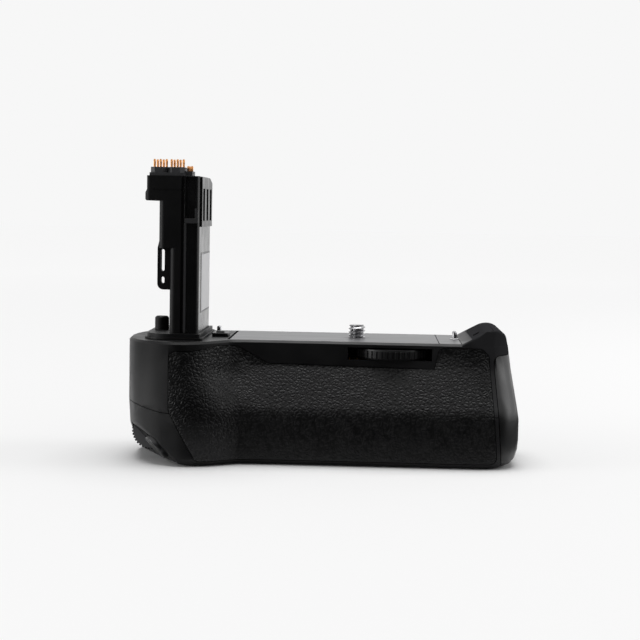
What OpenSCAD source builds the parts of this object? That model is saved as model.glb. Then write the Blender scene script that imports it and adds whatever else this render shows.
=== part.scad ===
// Camera battery grip with a battery post, a two-battery magazine and upright-hold controls.
// Millimetres, +Z up, the front is -Y and the magazine leaves towards +X.
// The origin is on the axis of the attachment screw, in the plane of the deck.

/* [Body] */
// Length of the controls' end, from the magazine to the left end
left_room = 16.8; // [16.6:0.1:19]
// Distance from the screw axis to the right end of the deck
deck_right = 55.6; // [55:0.2:58]
// How far the lower right end swells beyond the deck
end_swell = 4; // [3.6:0.2:6]
// Height of the rounding under the right end
toe_h = 9.5; // [7:0.5:10]
// Width of the rounding under the right end
toe_w = 4.8; // [3:0.2:5]
// How far the left end stands out above the case seam
left_bulge = 0.7; // [0:0.1:1.2]
// Distance from the screw axis to the front of the deck
deck_front = 21; // [20.5:0.25:22]
// Distance from the screw axis to the rear of the deck
deck_rear = 20.4; // [20:0.2:23]
// How far the handgrip stands in front of the deck
hand_reach = 16.5; // [15:0.5:19]
// Length of the handgrip, from the left end to the finger hollow
hand_l = 43; // [41:0.5:45]
// How far the lower front swells beyond the deck
front_swell = 8.5; // [8:0.25:10]
// How far the lower rear swells beyond the deck
rear_swell = 2; // [1.5:0.25:3]
// Height from the base to the deck
body_h = 44.2; // [40:0.2:48]
// Height of the upright strip below the deck edge
strip_h = 9.4; // [8.6:0.2:9.8]
// Depth at which the swell is complete
swell_h = 27; // [25:0.5:28]
// Corner radius of the right end, seen from above
end_corner = 11; // [9:0.5:13]
// Rounding of the base edge
base_round = 3; // [2:0.25:4]
// Bevel of the deck edge
deck_bevel = 0.8; // [0.5:0.1:1.2]
// Steps on each stretch of the outline
outline_steps = 2; // [2:1:3]

/* [Shells] */
// Wall of the cases
wall = 2; // [1.6:0.1:2.2]
// Thickness of the deck
deck_t = 2; // [1.8:0.05:2.1]
// Thickness of the base
base_t = 2.4; // [1.8:0.1:2.8]
// Gap between neighbouring shells
seam_gap = 0.25; // [0.1:0.05:0.3]
// Depth of the case seam at the left end
seam_left = 22.5; // [22:0.25:24]
// Depth of the case seam along the front
seam_front = 25.2; // [24.5:0.1:26]
// Thickness of the rubber skins
rubber_t = 1; // [0.8:0.1:1.2]
// How far the rubber skins stand proud
rubber_proud = 0.2; // [0.1:0.05:0.4]
// Thickness of the camera plate
plate_t = 0.8; // [0.5:0.1:1]

/* [Raised right end] */
// Height of the raised end above the deck
hump_h = 5.2; // [3:0.2:7]
// Length of the raised end with its ramp
hump_l = 17.2; // [16.4:0.2:19]
// Length of the ramp
hump_ramp = 9.6; // [7:0.2:11]

/* [Attachment drive] */
// Thread radius of the attachment screw, a quarter-inch camera thread
screw_r = 3.175; // [3:0.025:3.4]
// Height of the thread above the deck
screw_h = 4.8; // [4:0.1:5.5]
// Radius of the smooth neck below the thread
neck_r = 2.1; // [1.9:0.05:2.3]
// Wall of the bush round the neck
bush_wall = 0.6; // [0.5:0.05:0.8]
// Radius of the bush's flange, let into the deck
flange_r = 4.6; // [4.2:0.1:5]
// Distance of the dial centre to the right of the screw
dial_x = 13; // [12.5:0.1:13.5]
// Radius of the attachment dial
dial_r = 13.4; // [12.8:0.1:13.5]
// Thickness of the attachment dial
dial_t = 3.6; // [3:0.1:3.8]
// Ribs round the dial
dial_ribs = 42; // [36:2:64]
// Radius of the dial axle
dial_axle_r = 2; // [1.5:0.1:2.4]
// Teeth on the gear under the dial
dial_gear_teeth = 20; // [18:2:20]
// Teeth on the gear of the screw
screw_gear_teeth = 30; // [30:2:32]
// Module of the drive gears
gear_module = 0.68; // [0.675:0.005:0.7]
// Thickness of the drive gears
gear_t = 2.4; // [2:0.1:2.6]
// Width of the dial window
window_w = 30.5; // [29:0.25:32]
// Thickness of the drive plate
drive_plate_t = 1.4; // [1:0.1:1.6]

/* [Battery post] */
// Distance from the left end of the body to the left face of the post
post_inset = 15.4; // [15:0.1:16]
// Width of the lower part of the post
post_w = 10.6; // [10.2:0.1:11.2]
// Front face of the post, in front of the screw axis
post_front = 25; // [24:0.25:26]
// Depth of the post from front to rear
post_depth = 37; // [34:0.25:38]
// Height of the post above the deck
post_h = 58.8; // [56:0.2:62]
// Corner radius of the post
post_round = 2; // [1:0.25:2.5]
// Wall of the post halves
post_wall = 1.6; // [1.2:0.1:2]
// Width of the right half of the post
post_half_w = 5.4; // [5.2:0.1:5.8]
// Height where the wide upper part starts
upper_z = 32.8; // [31:0.2:35]
// Extra width of the upper part
upper_w = 4; // [3.6:0.1:4.4]
// Height of the underside of the head
head_z = 49.8; // [48:0.2:51]
// Extra width of the head
head_w = 9.2; // [8.8:0.1:10]
// Height of the collar on the deck
collar_h = 2.2; // [1.6:0.1:2.6]
// Height of the stub pin above the collar
stub_h = 5; // [3:0.2:6]
// Height of the cover loop
loop_h = 15; // [13:0.5:17]
// Width of the cover loop
loop_w = 4.6; // [4.5:0.1:5]

/* [Contacts] */
// Height of the contact block above the post
block_h = 3.2; // [3:0.1:4]
// Radius of a contact pin
pin_r = 0.42; // [0.36:0.02:0.44]
// Height of a contact pin above the block
pin_h = 3; // [2.2:0.1:3.4]
// Travel of the contact pins
pin_travel = 1; // [0.5:0.1:1.2]
// Distance between contact pins
pin_pitch = 1.1; // [1.05:0.01:1.12]

/* [Controls] */
// Radius of the shutter button
shutter_r = 5.2; // [4.6:0.1:5.4]
// Height of the shutter button above its seat
shutter_h = 1.4; // [1:0.1:1.8]
// Travel of the shutter button
shutter_travel = 0.8; // [0.4:0.1:1]
// Radius of the main dial
wheel_r = 7; // [6.4:0.1:7.1]
// Width of the main dial
wheel_w = 6; // [5:0.25:6.2]
// Teeth round the main dial
wheel_teeth = 36; // [24:2:48]
// Radius of the main dial axle
wheel_axle_r = 1.25; // [1:0.05:1.6]
// Radius of the rear buttons
button_r = 2.6; // [2:0.1:2.7]
// Distance between the rear buttons
button_pitch = 6.8; // [6.6:0.1:7]
// Travel of the rear buttons
button_travel = 0.6; // [0.3:0.1:0.8]
// Radius of the power lever
lever_r = 4.2; // [3.6:0.1:4.6]

/* [Magazine] */
// Length of one battery
battery_l = 56.8; // [50:0.2:63.6]
// Width of one battery
battery_w = 38.4; // [37.5:0.1:38.5]
// Height from the underside of the base to the tray
base_room = 6.4; // [6.2:0.1:7]
// Clearance round a battery
battery_gap = 0.2; // [0.1:0.05:0.25]
// Wall of the tray
tray_wall = 0.8; // [0.6:0.05:0.9]
// Floor of the tray
tray_floor = 1.2; // [0.8:0.1:1.4]
// Depth of the tray's top below the deck
tray_top = 15.2; // [15:0.05:15.4]
// Sliding clearance round the tray
tray_gap = 0.3; // [0.2:0.05:0.35]
// Width of the magazine cap at its upper edge
cap_w = 5.6; // [5.2:0.1:6]
// Lean of the cap's joint face
cap_lean = 4.5; // [3:0.25:5]
// Depth of the cap's upper edge below the deck
cap_top = 4.2; // [3.8:0.1:5]
// Radius of the release handle
handle_r = 7.8; // [7:0.2:8]
// Radius of the handle spindle
spindle_r = 1.8; // [1.5:0.1:1.9]
// Teeth on the latch pinion
pinion_teeth = 10; // [10:1:10]
// Module of the latch pinion and its rack
latch_module = 0.5; // [0.48:0.01:0.5]

/* [Fits and fasteners] */
// Radial running clearance of turning parts
run_gap = 0.05; // [0.03:0.01:0.1]
// Clearance round buttons and wheels
button_gap = 0.3; // [0.2:0.05:0.4]
// Radius of a screw shank
fastener_r = 0.8; // [0.6:0.05:0.9]
// Radius of a screw head
fastener_head_r = 1.6; // [1.3:0.1:1.8]
// Height of a screw head
fastener_head_h = 1; // [0.8:0.05:1.1]
// Radius of a screw boss
boss_r = 2.2; // [2:0.1:2.4]

/* [Hidden] */
$fn = 48;
far = 200;

// Sizes that follow from the batteries and the height of the body
divider_t = 1.2;
bay_inset = 0.2;
bay_l = battery_l + 2 * battery_gap;
bay_w = battery_w + 2 * battery_gap;
battery_t = body_h - tray_top - base_room - tray_floor - 2 * battery_gap;
cap_x = deck_right - cap_w;
hump_start = deck_right - hump_l;
bay_right = cap_x + bay_inset;
tray_left = bay_right - 2 * bay_l - divider_t - tray_wall;
body_left = left_room - tray_left;
hollow_start = body_left - hand_l;
post_left_x = body_left - post_inset;
post_right_x = post_left_x - post_w;

// Body form

// Swell of the body with depth: a straight slope that rounds off into an upright face
swell_knee = 0.7;
swell_round = 1 / (1 - swell_knee * swell_knee);
swell_slope = 2 * swell_round * (1 - swell_knee);
swell_steps = 4;
toe_steps = 2;
round_steps = 3;

function mix(a, b, t) = a + (b - a) * t;
function swell_share(depth) = min(1, max(0, (depth - strip_h) / (swell_h - strip_h)));
function swell(depth) =
    let (u = swell_share(depth))
    u < swell_knee ? swell_slope * u : 1 - swell_round * pow(1 - u, 2);

// Handgrip and finger hollow, as seen from above
hand_swell = 0.5;
hollow_shift = 3;
hollow_pitch = 6.5;

// The right end widens with depth and is rounded under at the base
function right_end(depth) =
    let (t = max(0, 1 - (body_h - depth) / toe_h))
    deck_right + end_swell * min(1, depth / swell_h) - toe_w * (1 - sqrt(1 - t * t));

// The left end is upright down to the seam and drawn in below it
function left_end(depth) =
    body_left + left_bulge * max(0, min(1, (body_h - toe_h - depth) / (body_h - toe_h - seam_left)));

// Outline of the body at one depth: right end, front from right to left, left end, rear
function outline(depth) =
    let (
        w = swell(depth),
        right = right_end(depth),
        left = -left_end(depth),
        front = -deck_front - front_swell * w,
        rear = deck_rear + rear_swell * w,
        hand = -deck_front - hand_reach - hand_swell * w,
        hollow = -hollow_start + hollow_shift * w,
        corner = 0.3 * end_corner
    )
    [
        [right, (front + rear) / 2],
        [right, front + end_corner],
        [right - corner, front + corner],
        [right - end_corner, front],
        [right / 3, front],
        [-hollow_start / 3, front],
        [hollow, front],
        [hollow - hollow_pitch, mix(front, hand, 0.2)],
        [hollow - 2 * hollow_pitch, mix(front, hand, 0.7)],
        [hollow - 3 * hollow_pitch, mix(front, hand, 0.97)],
        [hollow - 4 * hollow_pitch, hand],
        [left + 8, hand + 5.5],
        [left + 2, hand + 15],
        [left, (hand + rear) / 2],
        [left + 2, rear - 14],
        [left + 7, rear - 5],
        [left + 17, rear - 0.4],
        [hollow - 3 * hollow_pitch, rear],
        [hollow - 2 * hollow_pitch, rear],
        [hollow - hollow_pitch, rear],
        [hollow, rear],
        [-hollow_start / 3, rear],
        [right / 3, rear],
        [right - end_corner, rear],
        [right - corner, rear - corner],
        [right, rear - end_corner]
    ];

// Smooth closed curve through the outline points
function spline(a, b, c, d, t) =
    0.5 * (2 * b + (c - a) * t + (2 * a - 5 * b + 4 * c - d) * t * t + (3 * b - a - 3 * c + d) * t * t * t);
function smooth_loop(p, steps) =
    let (n = len(p))
    [for (i = [0:n - 1], k = [0:steps - 1])
        spline(p[(i + n - 1) % n], p[i], p[(i + 1) % n], p[(i + 2) % n], k / steps)];
function inset_loop(p, inset) =
    let (n = len(p))
    [for (i = [0:n - 1])
        let (d = p[(i + 1) % n] - p[(i + n - 1) % n])
        p[i] + inset * [d[1], -d[0]] / norm(d)];
function ring(depth, inset, steps) = inset_loop(smooth_loop(outline(depth), steps), inset);

// Rings of the outer form, each a depth below the deck and an inset
outer_levels = concat(
    [[0, deck_bevel], [deck_bevel, 0], [strip_h, 0]],
    [for (i = [1:swell_steps]) [mix(strip_h, swell_h, i / swell_steps), 0]],
    [for (i = [0:toe_steps - 1]) [mix(body_h - toe_h, body_h - base_round, i / toe_steps), 0]],
    [for (i = [0:round_steps])
        let (a = 90 * i / round_steps)
        [body_h - base_round * (1 - sin(a)), base_round * (1 - cos(a))]]
);

// Rings of the hollow inside the cases
room_steps = 3;
room_levels = concat(
    [[deck_t, 0], [strip_h, 0]],
    [for (i = [1:room_steps]) [mix(strip_h, swell_h, i / room_steps), 0]],
    [[body_h - base_t, 0]]
);

// Solid between stacked rings of the body outline
module loft(levels, inset) {
    rings = [for (l = levels) [for (p = ring(l[0], l[1] + inset, outline_steps)) [p[0], p[1], -l[0]]]];
    n = len(rings[0]);
    half = n / 2;
    last = (len(levels) - 1) * n;
    sides = [for (k = [0:len(levels) - 2], j = [0:n - 1])
        let (a = k * n + j, b = k * n + (j + 1) % n)
        each [[a, a + n, b], [b, a + n, b + n]]];
    top = concat(
        [[0, 1, n - 1], [half - 1, half, half + 1]],
        [for (i = [1:half - 2]) each [[i, i + 1, n - i], [i + 1, n - i - 1, n - i]]]
    );
    base = [for (f = top) [f[2] + last, f[1] + last, f[0] + last]];
    polyhedron([for (r = rings) each r], concat(top, sides, base), convexity = 8);
}

// Shutter seat: the plane that cuts the lower left front corner, and the rising underside of the hand
shutter_at = [-body_left + 12.6, -deck_front - 9, -body_h + 6.2];
shutter_axis = [-0.68, -0.33, -0.654];
rise_at = [-body_left + 21.5, -deck_front - 9, -body_h];
rise_axis = [-0.2, -0.13, -1];

// Puts the children on a slanting face, with +Z pointing out of it along an axis
module on_face(at, axis) {
    translate(at) rotate([0, acos(axis[2] / norm(axis)), atan2(axis[1], axis[0])]) children();
}

module at_shutter() {
    on_face(shutter_at, shutter_axis) children();
}

// Everything beyond the shutter seat and the rising underside, sunk by an inset
module lower_corner(inset) {
    on_face(shutter_at, shutter_axis) translate([-far / 2, -far / 2, -inset]) cube(far);
    on_face(rise_at, rise_axis) translate([-far / 2, -far / 2, -inset]) cube(far);
}

// The outer form of the body, drawn in by an inset
module body_form(inset) {
    difference() {
        loft(outer_levels, inset);
        lower_corner(inset);
    }
}

// Rectangle with round corners, from one corner to the other
module round_rect(low, high, r) {
    for (x = [low[0] + r, high[0] - r], y = [low[1] + r, high[1] - r]) translate([x, y]) circle(r);
    translate([low[0] + r, low[1]]) square([high[0] - low[0] - 2 * r, high[1] - low[1]]);
    translate([low[0], low[1] + r]) square([high[0] - low[0], high[1] - low[1] - 2 * r]);
}

// A box between two corners
module box(low, high) {
    translate(low) cube(high - low);
}

// An upright cylinder at a place in plan, between two heights
module rod(at, r, low, high) {
    translate([at[0], at[1], low]) cylinder(r = r, h = high - low);
}

// Front view shapes are drawn in X and Z and pushed through the body along Y
module through_y(from, to) {
    translate([0, to, 0]) rotate([90, 0, 0]) linear_extrude(to - from) children();
}

// Everything right of the cap's leaning joint face, shifted left by an offset
module right_of_cap(shift) {
    translate([cap_x, 0, -cap_top]) rotate([0, -cap_lean, 0])
        translate([-shift, -far / 2, -far / 2]) cube(far);
}

// The space taken by the magazine cap, with a rounded upper corner, grown by a gap
module cap_space(gap) {
    drop = far / 2;
    through_y(-far / 2, far / 2)
        offset(r = gap) offset(r = cap_round) offset(delta = -cap_round) polygon([
            [cap_x, -cap_top], [cap_x + drop * tan(cap_lean), -cap_top - drop],
            [far, -cap_top - drop], [far, -cap_top]
        ]);
}

// The hollow of the cases, up to the bulkhead round the magazine mouth
module case_room() {
    difference() {
        loft(room_levels, wall);
        lower_corner(wall);
        right_of_cap(seam_gap + wall);
    }
}

// Everything below the seam between the cases, lowered by a gap
module below_seam(gap) {
    seam_end = body_left - 17;
    steps = 12;
    curve = [for (i = [0:steps])
        [-mix(body_left, seam_end, i / steps),
            -mix(seam_left, seam_front, (1 - cos(180 * i / steps)) / 2) - gap]];
    through_y(-far / 2, far / 2) polygon(concat(
        [[-far, -far], [-far, curve[0][1]]],
        curve,
        [[far, curve[steps][1]], [far, -far]]
    ));
}

// Clearances used in several places
sink = 0.5;
screw_hole_gap = 0.15;
head_hole_gap = 0.2;
hub_gap = 0.1;

// Magazine places
cap_round = 2.2;
tray_y = -1.6;
tray_h = tray_floor + battery_t + 2 * battery_gap;
tray_w = bay_w + 2 * tray_wall;
tray_front = tray_y - tray_w / 2;
tray_rear = tray_y + tray_w / 2;
tray_base = -tray_top - tray_h;
contact_w = 2.4;
contact_h = 7;
contact_places = [for (x = [tray_left, bay_right - bay_l - divider_t], y = [-9, -3, 3, 9])
    [x, tray_y + y, tray_base + tray_floor + battery_t / 2]];
cap_screw_at = [for (y = [-15, 15]) [bay_right + fastener_head_h, tray_y + y, -body_h + 12]];
cap_screw_l = 5.4;

// Latch places
handle_at = [deck_right - 1.6, -4, -22];
handle_t = 1.4;
grip_h = 1;
grip_w = 4.4;
bolt_x = cap_x + 1.9;
bolt_t = 1.4;
bolt_w = 5;
bolt_tail = 6;
pinion_r = latch_module * pinion_teeth / 2;
bolt_travel = pinion_r * PI / 2;
bolt_y = handle_at[1] + pinion_r;
bolt_base = handle_at[2] - bolt_tail;
bolt_pocket = 0.3;

// Attachment drive places
gear_distance = gear_module * (dial_gear_teeth + screw_gear_teeth) / 2;
dial_y = -sqrt(gear_distance * gear_distance - dial_x * dial_x);
dial_at = [dial_x, dial_y];
mesh_angle = atan2(-dial_y, -dial_x);
dial_top = -deck_t - 0.5;
dial_base = dial_top - dial_t;
gear_top = dial_base - 0.6;
gear_base = gear_top - gear_t;
drive_plate_top = gear_base - 1;
drive_plate_base = drive_plate_top - drive_plate_t;
hub_r = 3.4;
neck_base = drive_plate_base - 0.8;
clip_t = 0.5;
clip_w = 1.4;
bush_r = neck_r + run_gap + bush_wall;
bush_base = gear_top + hub_gap;
window_x = dial_x - 0.6;
window_left = window_x - window_w / 2;
window_right = window_x + window_w / 2;
window_top = -deck_t + 0.1;
window_base = dial_base - 0.3;
screw_gear_r = gear_module * screw_gear_teeth / 2;
drive_low = [-screw_gear_r - 3.5, dial_y - 5.5];
drive_high = [dial_x + dial_r + 5.6, screw_gear_r + 3];
drive_inset = 2.6;
drive_posts = [for (x = [drive_low[0] + drive_inset, drive_high[0] - drive_inset],
    y = [drive_low[1] + drive_inset, drive_high[1] - drive_inset]) [x, y]];
drive_screw_l = 3.5;

// Control places
wheel_at = [-body_left + 8.8, 0, -body_h + 10.4];
wheel_front = -deck_front - 0.5;
wheel_rear = wheel_front + wheel_w;
wheel_rib = 1.4;
wheel_reach = button_gap + wheel_rib;
rib_top = wheel_at[2] + 4;
rib_right = wheel_at[0] + 4;
button_x = -body_left + 12.2;
button_z = [for (i = [0:2]) -deck_t - 4.2 - i * button_pitch];
button_board_t = 1.2;
button_board_y = deck_rear - 8.4;
button_tail = button_board_y + 2 * button_travel;
button_collar = 0.5;
lever_at = [-body_left + 11.4, deck_rear + 0.2, -body_h + 11];
lever_t = 3;
switch_depth = wall + 4;
switch_post = shutter_r + 2.2;
switch_post_r = 1.2;

// Inner frame places
frame_t = 1.4;
frame_side = 1;
frame_left = tray_left - tray_gap;
frame_right = cap_x - seam_gap - wall - 1.2;
frame_wall_front = wheel_rear + wheel_reach + 0.4;
frame_wall_rear = button_tail - 0.4;
roof_low = -tray_top + tray_gap;
roof_high = roof_low + frame_t;
floor_high = tray_base - tray_gap;
floor_low = floor_high - frame_t;
frame_posts = [for (x = [-post_right_x + 7, cap_x - 8], y = [12, -12]) [x, y]];
frame_screw_l = 4.2;
case_posts = [[-hollow_start - 15, -deck_front - 7.5], [-body_left + 10, 4], [cap_x - 6, -deck_front - 4.2]];
case_screw_sink = 2;
case_screw_l = 4.5;
tripod_r = 5.6;
tripod_depth = 4.4;
tripod_wall = 1.6;
board_t = 1.2;

// Deck places
plate_left = -post_right_x + 11;
plate_right = window_right + 2.35;
plate_end_gap = 0.9;
plate_front = -deck_front + 1.4;
plate_rear = deck_rear - 1.4;
locating_r = 0.9;
locating_h = 3.2;
locating_sink = 1.7;
locating_at = [[-post_right_x + 5, 2], [hump_start - 1.8, 0]];

// Post places
post_split = -post_right_x - post_half_w;
post_rear = post_depth - post_front;
upper_left = -post_left_x - upper_w;
head_left = -post_left_x - head_w;
stub_r = 2.6;
stub_at = [-post_left_x - 4.8, -8];
cable_y = [-8, 1];
panel_z = 43.6;
head_lip = 0.8;

// Contact places: two towers and a step on one flange
block_y = [-post_front + 5, -post_front + 17];
flange_h = 1.2;
tower_left = [head_left + 1.2, head_left + 7.4];
tower_right = [head_left + 7.2, head_left + 13.5];
step_right = tower_right[1] + 2.8;
block_top = post_h + block_h;
step_top = post_h + 1.5 * flange_h;
pin_base = post_h + pin_travel + 0.2;
pin_edge = 0.75;
step_pitch = 0.7;

// Rows of contact pins: the first pin's X, how many, their pitch, the top they stand on, and their height
pin_rows = [
    [tower_left[0] + pin_edge, 5, pin_pitch, block_top, pin_h],
    [tower_left[1] + pin_edge, 5, pin_pitch, block_top, pin_h],
    [tower_right[1] + pin_edge, 3, step_pitch, step_top, pin_h - 1]
];

// Places of the contact pins, in two staggered lines: X, Y, the height of the block there, and of the tip
pin_y = [block_y[0] + 4, block_y[0] + 8];
pin_places = [for (row = pin_rows, i = [0:row[1] - 1])
    [row[0] + i * row[2], pin_y[i % 2], row[3], row[3] + row[4]]];

// Cases

// The sunken panel of the ramp, deepest behind the front rim, and everything above it
module ramp_panel() {
    rim = 1.6;
    foot = hump_start + 0.45 * hump_ramp;
    crest = hump_start + hump_ramp;
    front = -deck_front + rim;
    rear = deck_rear - rim;
    plan = [[hump_start, front], [foot, front], [crest, front], [crest, rear], [hump_start, rear]];
    height = [0, 0, hump_h, hump_h, 0];
    n = len(plan);
    polyhedron(
        concat([for (i = [0:n - 1]) [plan[i][0], plan[i][1], height[i]]],
            [for (p = plan) [p[0], p[1], 2 * hump_h]]),
        concat([[0, 1, 4], [1, 3, 4], [1, 2, 3], [5, 9, 6], [6, 9, 8], [6, 8, 7]],
            [for (i = [0:n - 1]) each [[i, i + n, (i + 1) % n], [(i + 1) % n, i + n, (i + 1) % n + n]]])
    );
}

// Raised right end with its ramp and a slot in it
module hump() {
    top_flat = 4.4;
    shoulder = 0.8;
    slot = [hump_start + 5.2, -1.5];
    slot_size = [2.2, 3];
    slot_floor = 1.2;
    difference() {
        intersection() {
            translate([0, 0, -deck_bevel]) linear_extrude(hump_h + deck_bevel)
                polygon(ring(0, 0, outline_steps));
            through_y(-far / 2, far / 2) polygon([
                [hump_start, -deck_bevel], [hump_start, 0], [hump_start + hump_ramp, hump_h],
                [hump_start + hump_ramp + top_flat, hump_h], [deck_right - shoulder, hump_h / 2],
                [deck_right, -deck_bevel]
            ]);
        }
        ramp_panel();
        translate([slot[0], slot[1], slot_floor]) cube([slot_size[0], slot_size[1], hump_h]);
    }
}

// Front view of the front rubber
module front_rubber_face(grow) {
    corner = 2.4;
    left = -body_left + 17.2;
    lobe_left = window_right + 2.6;
    lobe_top = -1.6;
    right = cap_x - 1.9;
    lean = tan(cap_lean) * (body_h - cap_top);
    low = -body_h + base_round - 1;
    offset(r = grow) offset(r = corner) offset(delta = -corner) polygon([
        [left, -3.4], [left + 9, -3.2], [-hollow_start - 9, -1.7], [-hollow_start - 3, -2.2],
        [-hollow_start + 8, -strip_h + 1], [lobe_left - 1.6, -strip_h],
        [lobe_left, lobe_top], [right - 2.6, lobe_top], [right, -cap_top],
        [right + lean, low], [left + 10, low], [left + 2.4, -body_h + 15.4], [left, -body_h + 20]
    ]);
}

// Rear view of the rear rubber, a thumb rest
module rear_rubber_face(grow) {
    corner = 4;
    left = -body_left + 20;
    top = -4;
    offset(r = grow) offset(r = corner) offset(delta = -corner) polygon([
        [left, top], [-hollow_start + 6, top], [-hollow_start - 2, -body_h + 7], [left, -body_h + 5]
    ]);
}

// The rubber outlines, pushed through the front and the rear of the body
module front_block(grow) {
    through_y(-far / 2, -deck_front / 2) front_rubber_face(grow);
}

module rear_block(grow) {
    through_y(deck_rear / 2, far / 2) rear_rubber_face(grow);
}

// Recesses of both rubber skins
module skin_recess() {
    difference() {
        union() {
            front_block(seam_gap);
            rear_block(seam_gap);
        }
        body_form(rubber_t - rubber_proud);
    }
}

// Keeps bosses and ribs inside the case walls
module within_walls() {
    intersection() {
        difference() {
            loft(room_levels, wall / 2);
            lower_corner(wall / 2);
        }
        union() children();
    }
}

// The way of the magazine through the right bulkhead
module magazine_mouth() {
    box([frame_left, tray_front - tray_gap, tray_base - tray_gap], [far, tray_rear + tray_gap, roof_low]);
}

module upper_case() {
    screw_depth = 5;
    color("#2b2b2d")
    difference() {
        union() {
            difference() {
                union() {
                    body_form(0);
                    hump();
                }
                case_room();
            }
            for (p = drive_posts) rod(p, boss_r, drive_plate_top, -deck_t + sink);
            for (p = frame_posts) rod(p, boss_r, roof_high, -deck_t + sink);
            within_walls() for (p = case_posts) rod(p, boss_r, -seam_front - sink, -deck_t + sink);
        }
        below_seam(0);
        cap_space(seam_gap);
        skin_recess();
        magazine_mouth();
        // Seat of the camera plate
        box([plate_left - plate_end_gap, plate_front - seam_gap, -plate_t],
            [hump_start, plate_rear + seam_gap, far]);
        // Bush and dial window
        rod([0, 0], flange_r, -2 * deck_t, deck_t);
        box([window_left, -far / 2, window_base], [window_right, -deck_front + 1.5 * wall, window_top]);
        // Screw holes
        for (p = drive_posts) rod(p, fastener_r, drive_plate_top - 1, drive_plate_top + screw_depth);
        for (p = frame_posts) rod(p, fastener_r, roof_high - 1, roof_high + screw_depth);
        for (p = case_posts) rod(p, fastener_r, -seam_front - 1, -seam_front + screw_depth);
        // Cable slot, rear buttons, latch slot
        box([post_split + 0.8, cable_y[0] - 1, -2 * deck_t], [post_split + 3, cable_y[1] + 1, deck_t]);
        for (z = button_z)
            translate([button_x, 0, z]) rotate([-90, 0, 0]) cylinder(r = button_r + button_gap, h = far);
        box([bolt_x - seam_gap, bolt_y - seam_gap, -cap_top - 1],
            [bolt_x + bolt_t + seam_gap, bolt_y + bolt_w + seam_gap, -cap_top + bolt_travel + bolt_pocket]);
        // Pin seats
        for (p = locating_at) rod(p, locating_r, -locating_sink, 2);
    }
}

module lower_case() {
    base_in = -body_h + base_t;
    color("#262628")
    difference() {
        union() {
            difference() {
                intersection() {
                    body_form(0);
                    below_seam(seam_gap);
                }
                case_room();
            }
            within_walls() {
                for (p = case_posts) rod(p, boss_r, -body_h, -seam_front - seam_gap);
                // Ribs that carry the main dial
                for (y = [wheel_front - wheel_reach, wheel_rear + button_gap])
                    box([-body_left, y, -body_h], [rib_right, y + wheel_rib, rib_top]);
            }
            // Feet under the frame and the boss of the tripod bush
            for (p = frame_posts) rod(p, boss_r, base_in - sink, floor_low);
            rod([0, 0], tripod_r + tripod_wall, base_in - sink, floor_low);
            // Posts of the shutter switch
            for (s = [-1, 1])
                at_shutter() rod([s * switch_post, 0], switch_post_r, -switch_depth, -wall + sink);
        }
        cap_space(seam_gap);
        skin_recess();
        magazine_mouth();
        // Main dial slot and axle holes
        translate([wheel_at[0], wheel_front - button_gap, wheel_at[2]]) rotate([-90, 0, 0])
            cylinder(r = wheel_r + button_gap + 0.2, h = wheel_w + 2 * button_gap);
        translate([wheel_at[0], wheel_front - 2 * wheel_reach, wheel_at[2]]) rotate([-90, 0, 0])
            cylinder(r = wheel_axle_r, h = wheel_w + 4 * wheel_reach);
        // Shutter button, power lever
        at_shutter() rod([0, 0], shutter_r + button_gap, -wall - 1, 1);
        translate([lever_at[0], deck_rear - 6, lever_at[2]]) rotate([-90, 0, 0])
            cylinder(r = lever_r + button_gap, h = far);
        // Tripod bush and screws
        rod([0, 0], tripod_r, -body_h - 1, 0);
        for (p = case_posts) {
            rod(p, fastener_r + screw_hole_gap, -body_h - 1, 0);
            rod(p, fastener_head_r + head_hole_gap, -body_h - 1, -body_h + case_screw_sink);
        }
    }
}

// Frame of the magazine bay: roof, floor and left end
module inner_frame() {
    left = frame_left - frame_side;
    roof_y = [-deck_front + wall + 0.4, deck_rear - wall - 0.4];
    color("#3a3a3c")
    difference() {
        union() {
            box([left, roof_y[0], roof_low], [frame_right, roof_y[1], roof_high]);
            box([left, tray_front, floor_low], [frame_right, tray_rear, floor_high]);
            box([left, frame_wall_front, floor_low], [frame_left, frame_wall_rear, roof_high]);
        }
        for (p = frame_posts) {
            rod(p, fastener_r + screw_hole_gap, roof_low - 1, roof_high + 1);
            rod(p, fastener_head_r + head_hole_gap, roof_low - 1, roof_low + fastener_head_h);
        }
    }
}

// Light plate round the screw, and the short one between it and the raised end
module camera_plate() {
    notch = [-12.8, -9.2];
    notch_depth = 0.9;
    corner = 1;
    color("#55565a")
    difference() {
        translate([0, 0, -plate_t]) linear_extrude(plate_t) {
            round_rect([plate_left, plate_front], [plate_right, plate_rear], corner);
            round_rect([plate_right + seam_gap, plate_front], [hump_start - seam_gap, plate_rear], corner);
        }
        rod([0, 0], flange_r + hub_gap, -plate_t - 1, 1);
        rod(locating_at[1], locating_r + hub_gap, -plate_t - 1, 1);
        box([notch[0], plate_front - 1, -plate_t - 1], [notch[1], plate_front + notch_depth, 1]);
    }
}

module front_rubber() {
    color("#1c1c1d")
    difference() {
        intersection() {
            front_block(0);
            body_form(-rubber_proud);
        }
        body_form(rubber_t - rubber_proud);
    }
}

module rear_rubber() {
    color("#1c1c1d")
    difference() {
        intersection() {
            rear_block(0);
            body_form(-rubber_proud);
        }
        body_form(rubber_t - rubber_proud);
    }
}

// Battery post

// Everything above the top of the right half, which falls away behind the cable, lowered by a drop
module above_head(drop) {
    fall = 2.4;
    from = cable_y[1] + 1;
    translate([-far, 0, -drop]) rotate([90, 0, 90]) linear_extrude(2 * far)
        polygon([[from, post_h], [post_rear + 1, post_h - fall], [post_rear + 1, far], [from, far]]);
}

// The channel that runs up the post for the cable
module post_channel() {
    difference() {
        box([-post_left_x + post_wall, -post_front + post_wall, -1],
            [-post_right_x - post_wall, post_rear - post_wall, post_h - post_wall]);
        above_head(post_wall);
    }
}

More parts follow.
